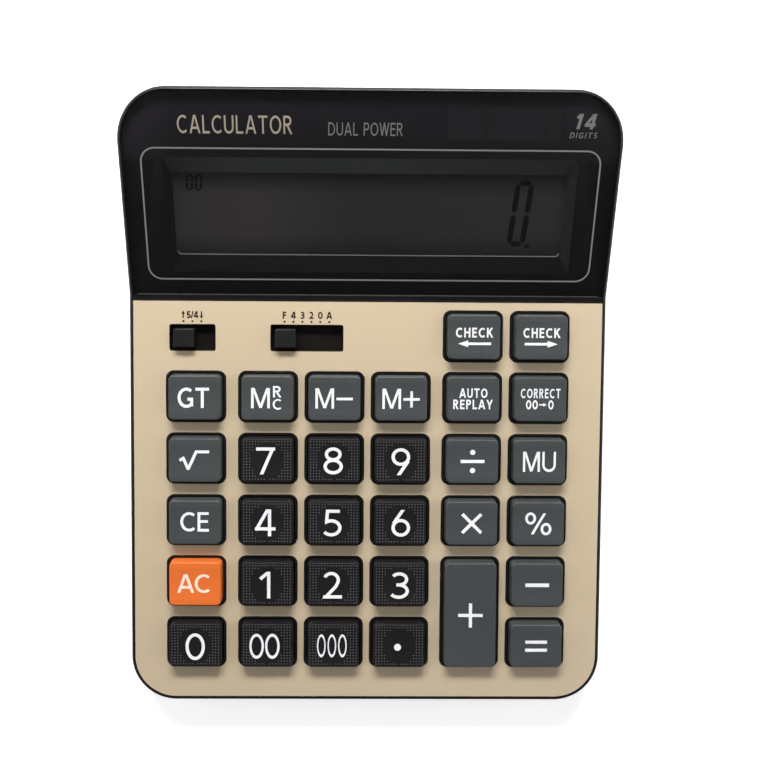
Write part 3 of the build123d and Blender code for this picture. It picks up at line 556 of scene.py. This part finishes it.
def arrow(cx, cy, length, way, stroke=0.82, head=(3.3, 2.2)):
    """A horizontal arrow that points left (-1) or right (1)."""
    tip = cx + way * length / 2
    tail = cx - way * length / 2
    neck = tip - way * head[0]
    shaft = bar((tail + neck) / 2, cy, abs(neck - tail), stroke)
    return shaft + [[(tip, cy), (neck, cy + head[1] / 2), (neck, cy - head[1] / 2)]]


def signed_area(polygon):
    corners = zip(polygon, polygon[1:] + polygon[:1])
    return sum(x0 * y1 - x1 * y0 for (x0, y0), (x1, y1) in corners) / 2


def sliced(polygons, step):
    """The same shapes cut into level bands, so that they can follow a curved surface."""
    cut = []
    for polygon in polygons:
        ys = [p[1] for p in polygon]
        k = math.floor(min(ys) / step)
        while k * step < max(ys):
            part = clipped(polygon, k * step, (k + 1) * step)
            if len(part) > 2 and abs(signed_area(part)) > 1e-5:
                cut.append(part)
            k += 1
    return cut


def merged(polygons):
    """Points and triangles of the union of convex polygons."""
    points = []
    faces = []
    for polygon in polygons:
        if signed_area(polygon) < 0:
            polygon = polygon[::-1]
        faces.append(list(range(len(points), len(points) + len(polygon))))
        points += [Vector(p) for p in polygon]
    points, _, triangles, _, _, owners = delaunay_2d_cdt(points, [], faces, 0, 1e-4)
    return points, [t for t, own in zip(triangles, owners) if own]


RAY_START = 0.02


def ink(name, polygons, slope, u, v, surface, material, body, lift=0.03, sink=0.03, step=None):
    """A thin printed piece at u, v of a slope, from lift over a surface to sink below it.

    surface is a height, or the name of a mesh node to follow. A step cuts the shapes into level
    bands first, so that they bend with a curved node.
    """
    if step:
        polygons = sliced(polygons, step)
    points, triangles = merged(polygons)
    tree = None
    if isinstance(surface, str):
        source = NODES[surface].data
        corners = [x.co for x in source.vertices]
        tree = BVHTree.FromPolygons(corners, [p.vertices for p in source.polygons])
    bm = bmesh.new()
    tops = []
    lows = []
    normal = slope.normal()
    for p in points:
        height = surface if tree is None else slope.w0
        place = slope.world(u + p.x, v + p.y, height)
        if tree is not None:
            hit = tree.ray_cast(place + normal * RAY_START, -normal)[0]
            place = hit if hit is not None else place
        tops.append(bm.verts.new(place + normal * lift * MM))
        lows.append(bm.verts.new(place - normal * sink * MM))
    for t in triangles:
        bm.faces.new([tops[k] for k in t])
        bm.faces.new([lows[k] for k in reversed(t)])
    used = {}
    for t in triangles:
        for a, b in zip(t, t[1:] + t[:1]):
            used[(a, b)] = True
    for a, b in used:
        if (b, a) not in used:
            bm.faces.new((tops[b], tops[a], lows[a], lows[b]))
    loose = [x for x in bm.verts if not x.link_faces]
    bmesh.ops.delete(bm, geom=loose, context="VERTS")
    mesh = bpy.data.meshes.new(name)
    bm.to_mesh(mesh)
    bm.free()
    mesh.materials.append(material)
    piece = bpy.data.objects.new(name, mesh)
    bpy.context.scene.collection.objects.link(piece)
    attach(piece, body)


# ---------------------------------------------------------------- legends on the keys
DIGIT = dict(height=8.85, weight=0.120)
NUDGE = {
    "1": (-0.5, -0.25), "2": (-0.45, -0.25), "3": (0, -0.3), "4": (-0.7, 0), "5": (-0.6, 0),
    "6": (0.2, 0), "7": (-0.6, -0.1), "8": (-0.3, 0), "9": (0, -0.15),
}
CAPS = dict(height=6.4, weight=0.140, gap=0.10, squeeze=1.02)
LIGHT_CAPS = dict(height=6.6, weight=0.122, squeeze=1.02)
SMALL = dict(height=3.1, weight=0.185, squeeze=0.79, gap=0.20)
CHECK = moved(text("CHECK", 3.2, 0.19, 0.87, 0.20), 0, 1.5)
MEMORY = moved(text("M", **LIGHT_CAPS), -3.15, 0)
MEMORY_BAR = bar(3.3, -0.15, 5.3, 0.85)
LEGEND_BAND = 0.9
OPEN_BAND = (-9, 99)


def square_root():
    line = [(-4.9, -0.1), (-3.7, 0.6), (-2.2, -2.7), (-2.0, -2.7), (0.5, 2.75), (4.7, 2.75)]
    return drawn([line], 0.95, OPEN_BAND)


def percent():
    nought = drawn([(arc(0.0, 0.0, 1.35, 1.6, 0, 351), True)], 0.85, OPEN_BAND)
    shapes = moved(nought, -2.55, 1.75) + moved(nought, 2.55, -1.75)
    return shapes + drawn([long_line((-1.9, -3.4), (2.0, 3.4))], 0.80, (-3.45, 3.45))


def times():
    return drawn([[(-3.1, -3.1), (3.1, 3.1)], [(-3.1, 3.1), (3.1, -3.1)]], 1.05, OPEN_BAND)


LEGENDS = {
    "key_check_back": CHECK + arrow(0.1, -2.1, 10.7, -1),
    "key_check_next": CHECK + arrow(-0.1, -2.1, 10.7, 1),
    "key_grand_total": moved(text("GT", 6.6, 0.150, 0.96, 0.11), -0.35),
    "key_memory_recall": moved(text("M", **LIGHT_CAPS), -2.2, 0)
    + moved(text("R", 3.7, 0.155, 1.12), 3.2, 2.1) + moved(text("C", 3.5, 0.155, 1.08), 3.2, -2.0),
    "key_memory_minus": MEMORY + MEMORY_BAR,
    "key_memory_plus": MEMORY + MEMORY_BAR + bar(3.3, -0.15, 0.85, 5.3),
    "key_auto_replay": moved(text("AUTO", **SMALL), 0, 2.0)
    + moved(text("REPLAY", 3.1, 0.185, 0.84, 0.20), -0.2, -1.7),
    "key_correct": moved(text("CORRECT", 3.1, 0.175, 0.67, 0.21), 0, 2.0)
    + moved(text("00", 3.0, 0.19, 0.78), -2.8, -1.7) + arrow(0.75, -1.7, 2.4, 1, 0.42, (1.0, 1.2))
    + moved(text("0", 3.0, 0.19, 0.78), 3.4, -1.7),
    "key_square_root": square_root(),
    "key_divide": bar(0, 0, 7.8, 1.05) + disc(0, 3.0, 0.86) + disc(0, -3.0, 0.86),
    "key_mark_up": text("MU", 6.6, 0.120, 0.93, 0.13),
    "key_clear_entry": moved(text("CE", **CAPS), -0.1, 0.2),
    "key_multiply": times(),
    "key_percent": percent(),
    "key_all_clear": moved(text("AC", 6.2, 0.140, 1.08, 0.03), -0.4, 0.1),
    "key_plus": bar(0, 0, 8.1, 1.05) + bar(0, 0, 1.05, 8.1),
    "key_minus": bar(0, -0.1, 7.8, 1.2),
    "key_equals": bar(0, 1.35, 7.2, 1.05) + bar(0, -1.35, 7.2, 1.05),
    "key_point": disc(-0.5, -0.5, 1.15, 28),
    "key_00": moved(text("00", 8.4, 0.116, 0.77, 0.06), -0.8, -0.2),
    "key_000": moved(text("000", 7.7, 0.112, 0.50, 0.16), -0.4),
    "key_0": moved(text("0", 8.95, 0.120, 0.96), 0, -0.4),
}
for digit in "123456789":
    LEGENDS["key_" + digit] = moved(text(digit, **DIGIT), *NUDGE[digit])
BLACK_KEYS = ["key_" + s for s in ("0", "00", "000", "point") + tuple("123456789")]

for key, shapes in LEGENDS.items():
    u, v = DECK.centre(key)
    tone = INK_WARM if key == "key_all_clear" else INK_WHITE
    ink("legend_" + key, shapes, DECK, u, v, key, tone, key, step=LEGEND_BAND)

PIN_PITCH = 0.95
PIN_R = 0.18
PIN_COLUMNS = 8
PIN_ROWS = 14
PIN_FIRST_Y = -6.1
PIN_CLEAR = (5.5, 6.1)


def pins():
    """Tiny raised pins round the edge of a key, with an oval left clear for its legend."""
    shapes = []
    for i in range(-PIN_COLUMNS, PIN_COLUMNS + 1):
        for j in range(PIN_ROWS):
            x = i * PIN_PITCH
            y = PIN_FIRST_Y + j * PIN_PITCH
            if (x / PIN_CLEAR[0]) ** 2 + (y / PIN_CLEAR[1]) ** 2 > 1:
                shapes += disc(x, y, PIN_R, 6)
    return shapes


for key in BLACK_KEYS:
    u, v = DECK.centre(key)
    ink("pins_" + key, pins(), DECK, u, v, key, INK_DOT, key, lift=0.05)

# ---------------------------------------------------------------- print on the plate
DOT_PITCH = 2.92
DOT_SHIFT = 0.45
DOT_R = 0.37
DOT_RISE = 5.3
SIGN_RISE = 7.45
SIGN = dict(height=2.35, weight=0.215)


def on_plate(name, shapes, v):
    ink(name, shapes, DECK, 0, v, DECK.w0, INK_BROWN, "case", 0.012, 0.02)


def switch_print(side, count):
    """A dot over each position of a switch; returns where they are and the height of the signs."""
    u, v = DECK.centre(side + "_wiper")
    xs = [u - DOT_SHIFT + DOT_PITCH * k for k in range(count)]
    dots = []
    for x in xs:
        dots += disc(x, 0, DOT_R, 12)
    on_plate("dots_" + side + "_knob", dots, v + DOT_RISE)
    return xs, v + SIGN_RISE


xs, v = switch_print("decimal", 6)
marks = []
for x, sign in zip(xs, "F4320A"):
    marks += moved(text(sign, squeeze=0.88, **SIGN), x)
on_plate("label_decimal", marks, v)
xs, v = switch_print("rounding", 3)
marks = moved(text("5/4", squeeze=0.84, gap=0.04, **SIGN), xs[1])
for x, way in ((xs[0] - 0.05, 1), (xs[2] + 0.05, -1)):
    marks += bar(x, 0, 0.46, 2.3)
    marks += [[(x - 0.62, way * 0.3), (x + 0.62, way * 0.3), (x, way * 1.3)]]
on_plate("label_rounding", marks, v)

# ---------------------------------------------------------------- print behind the acrylic
PANEL_START = 1.0
T0 = HEAD.v0 - PANEL_START
PRINT_W = max(HEAD.local(v.co).z for v in NODES["panel_mask"].data.vertices)


def rounded_line(half_width, v0, v1, radius):
    """The centre line of a rounded rectangle."""
    points = []
    for cx, cy, start in (
        (half_width - radius, v1 - radius, 0), (-half_width + radius, v1 - radius, 90),
        (-half_width + radius, v0 + radius, 180), (half_width - radius, v0 + radius, 270),
    ):
        points += arc(cx, cy, radius, radius, start, start + 90)
    return points


def on_mask(name, shapes, u, t, material):
    ink(name, shapes, HEAD, u, T0 + t, PRINT_W, material, "case", 0.02, 0.01)


RING = dict(half_width=71.3, v0=6.2, v1=49.05, radius=4.4)
RING_LINE = 0.48
ring = drawn([(rounded_line(**RING), True)], RING_LINE, OPEN_BAND)
on_mask("ring_silver", ring, 0.2, 0, INK_SILVER)
on_mask("word_calculator", text("CALCULATOR", 5.6, 0.125, 0.72, 0.17), -41.7, 56.4, INK_CREAM)
on_mask("word_power", text("DUAL POWER", 4.0, 0.115, 0.68, 0.17), -1.7, 55.3, INK_GREY)
on_mask("word_14", text("14", 4.7, 0.22, 0.9, 0.18, 0.22), 65.1, 58.2, INK_GREY)
on_mask("word_digits", text("DIGITS", 1.75, 0.15, 0.98, 0.34, 0.2), 65.2, 53.95, INK_GREY)

# Painted highlight: a grey strip stands in for the light that the cut edge of the clear sheet catches along
# its foot
edge = bar(0, 0, 149.5, 0.22)
ink("panel_lower_edge_highlight", edge, HEAD, 0, T0 + 1.6, HEAD.w0, EDGE_HIGHLIGHT, "case", 0.01, 0.25)

# ---------------------------------------------------------------- liquid crystal segments
LCD_W = max(HEAD.local(v.co).z for v in NODES["lcd_glass"].data.vertices)
SLANT = math.tan(math.radians(4.8))


def segment_zero(width, height, stroke):
    """The six bars that show a nought on a seven-segment digit, each with pointed ends."""
    h = stroke / 2
    gap = stroke * 0.12
    x1 = width - h
    y1 = height - h
    mid = height / 2
    ends = {
        "a": ((h, y1), (x1, y1)), "b": ((x1, mid), (x1, y1)), "c": ((x1, h), (x1, mid)),
        "d": ((h, h), (x1, h)), "e": ((h, h), (h, mid)), "f": ((h, mid), (h, y1)),
    }
    shapes = []
    for (ax, ay), (bx, by) in ends.values():
        if ay == by:
            ax, bx = ax + gap, bx - gap
            shapes.append([(ax, ay), (ax + h, ay - h), (bx - h, by - h),
                           (bx, by), (bx - h, by + h), (ax + h, ay + h)])
        else:
            ay, by = ay + gap, by - gap
            shapes.append([(ax, ay), (ax + h, ay + h), (bx + h, by - h),
                           (bx, by), (bx - h, by - h), (ax - h, ay + h)])
    return moved(shapes, slant=SLANT)


def on_lcd(name, shapes, u, t):
    ink(name, shapes, HEAD, u, T0 + t, LCD_W, INK_LCD, "case", 0.02, 0.01)


on_lcd("segments_zero", segment_zero(6.0, 21.8, 1.75) + disc(6.7, 0.1, 0.8, 12), 44.4, 17.0)
small = segment_zero(2.3, 5.4, 0.72)
on_lcd("segments_item", small + moved(small, 2.9), -58.3, 34.7)

# ---------------------------------------------------------------- the frame's lower lip, a painted highlight
THROAT_W = LCD_W + 0.2
LIP_LINE = 0.22


def lower_lip(half_width, v0, radius, rise):
    """A thin line along the foot of the display opening that turns up at both ends."""
    left = arc(-half_width + radius, v0 + radius, radius, radius, 180, 270)
    right = arc(half_width - radius, v0 + radius, radius, radius, 270, 360)
    return [(-half_width, v0 + radius + rise)] + left + right + [(half_width, v0 + radius + rise)]


# painted highlight along the foot of the display opening
lip = drawn([lower_lip(61.75, 13.65, 1.1, 0.1)], LIP_LINE, OPEN_BAND)
ink("lcd_lower_lip_painted_highlight", lip, HEAD, 0, T0, THROAT_W, LIP_HIGHLIGHT, "case", 0.05, 0.2)

# ---------------------------------------------------------------- floor, light and camera


FLOOR_REACH = 4.0


def floor():
    """A flat pale floor that stays bright under the object."""
    mesh = bpy.data.meshes.new("studio_floor")
    reach = FLOOR_REACH
    corners = [(-reach, -reach, 0), (reach, -reach, 0), (reach, reach, 0), (-reach, reach, 0)]
    mesh.from_pydata(corners, [], [(0, 1, 2, 3)])
    piece = bpy.data.objects.new("studio_floor", mesh)
    bpy.context.scene.collection.objects.link(piece)
    m = Mat("studio_paper")
    paper = m.noise(60.0, 2.0)
    node = m.shader(m.ramp(paper, (0.80, 0.795, 0.80), (0.82, 0.815, 0.82)), m.ramp(paper, 0.85, 0.95))
    node.inputs["Emission Color"].default_value = (1.0, 0.985, 1.0, 1)
    node.inputs["Emission Strength"].default_value = 0.62
    mesh.materials.append(m.mat)


def softbox(name, place, aim, size, power, colour=(1, 1, 1)):
    """A rectangular area light that points at a place."""
    lamp = bpy.data.lights.new(name, "AREA")
    lamp.shape = "RECTANGLE"
    lamp.size, lamp.size_y = size
    lamp.energy = power
    lamp.color = colour
    piece = bpy.data.objects.new(name, lamp)
    piece.location = place
    piece.rotation_euler = (Vector(aim) - Vector(place)).to_track_quat("-Z", "Y").to_euler()
    bpy.context.scene.collection.objects.link(piece)


floor()
softbox("window_rear", (-0.06, 0.66, 0.61), (0, 0.02, 0.02), (0.60, 0.18), 13.25, (1.0, 0.985, 0.96))
softbox("fill_left", (-0.70, 0.10, 0.50), (0, 0, 0), (0.5, 0.5), 1.6)
softbox("fill_right", (0.75, -0.05, 0.50), (0, 0, 0), (0.5, 0.5), 2.1)

world = bpy.data.worlds.new("studio_world")
world.use_nodes = True
bpy.context.scene.world = world
tree = world.node_tree
way = tree.nodes.new("ShaderNodeTexCoord")
split = tree.nodes.new("ShaderNodeSeparateXYZ")
sky = tree.nodes.new("ShaderNodeValToRGB")
sky.color_ramp.elements[0].position = 0.05
sky.color_ramp.elements[0].color = (0.92, 0.92, 0.92, 1)
sky.color_ramp.elements[1].position = 0.45
sky.color_ramp.elements[1].color = (0.12, 0.12, 0.12, 1)
tree.links.new(way.outputs["Generated"], split.inputs["Vector"])
tree.links.new(split.outputs["Z"], sky.inputs["Fac"])
tree.links.new(sky.outputs["Color"], tree.nodes["Background"].inputs["Color"])

CAMERA_PLACE = (-0.00783, 0.02049, 0.35233)
CAMERA_TURN = (0.366, -0.713, 0.348)
CAMERA_SHIFT = (0.0354, -0.0593)
LENS_LENGTH = 47.456
SENSOR_WIDTH = 36.0
lens = bpy.data.cameras.new("camera")
lens.sensor_width = SENSOR_WIDTH
lens.lens = LENS_LENGTH
lens.shift_x, lens.shift_y = CAMERA_SHIFT
lens.clip_start = 0.01
camera = bpy.data.objects.new("camera", lens)
camera.location = CAMERA_PLACE
camera.rotation_euler = [math.radians(angle) for angle in CAMERA_TURN]
bpy.context.scene.collection.objects.link(camera)
bpy.context.scene.camera = camera
bpy.context.scene.view_settings.view_transform = "Standard"
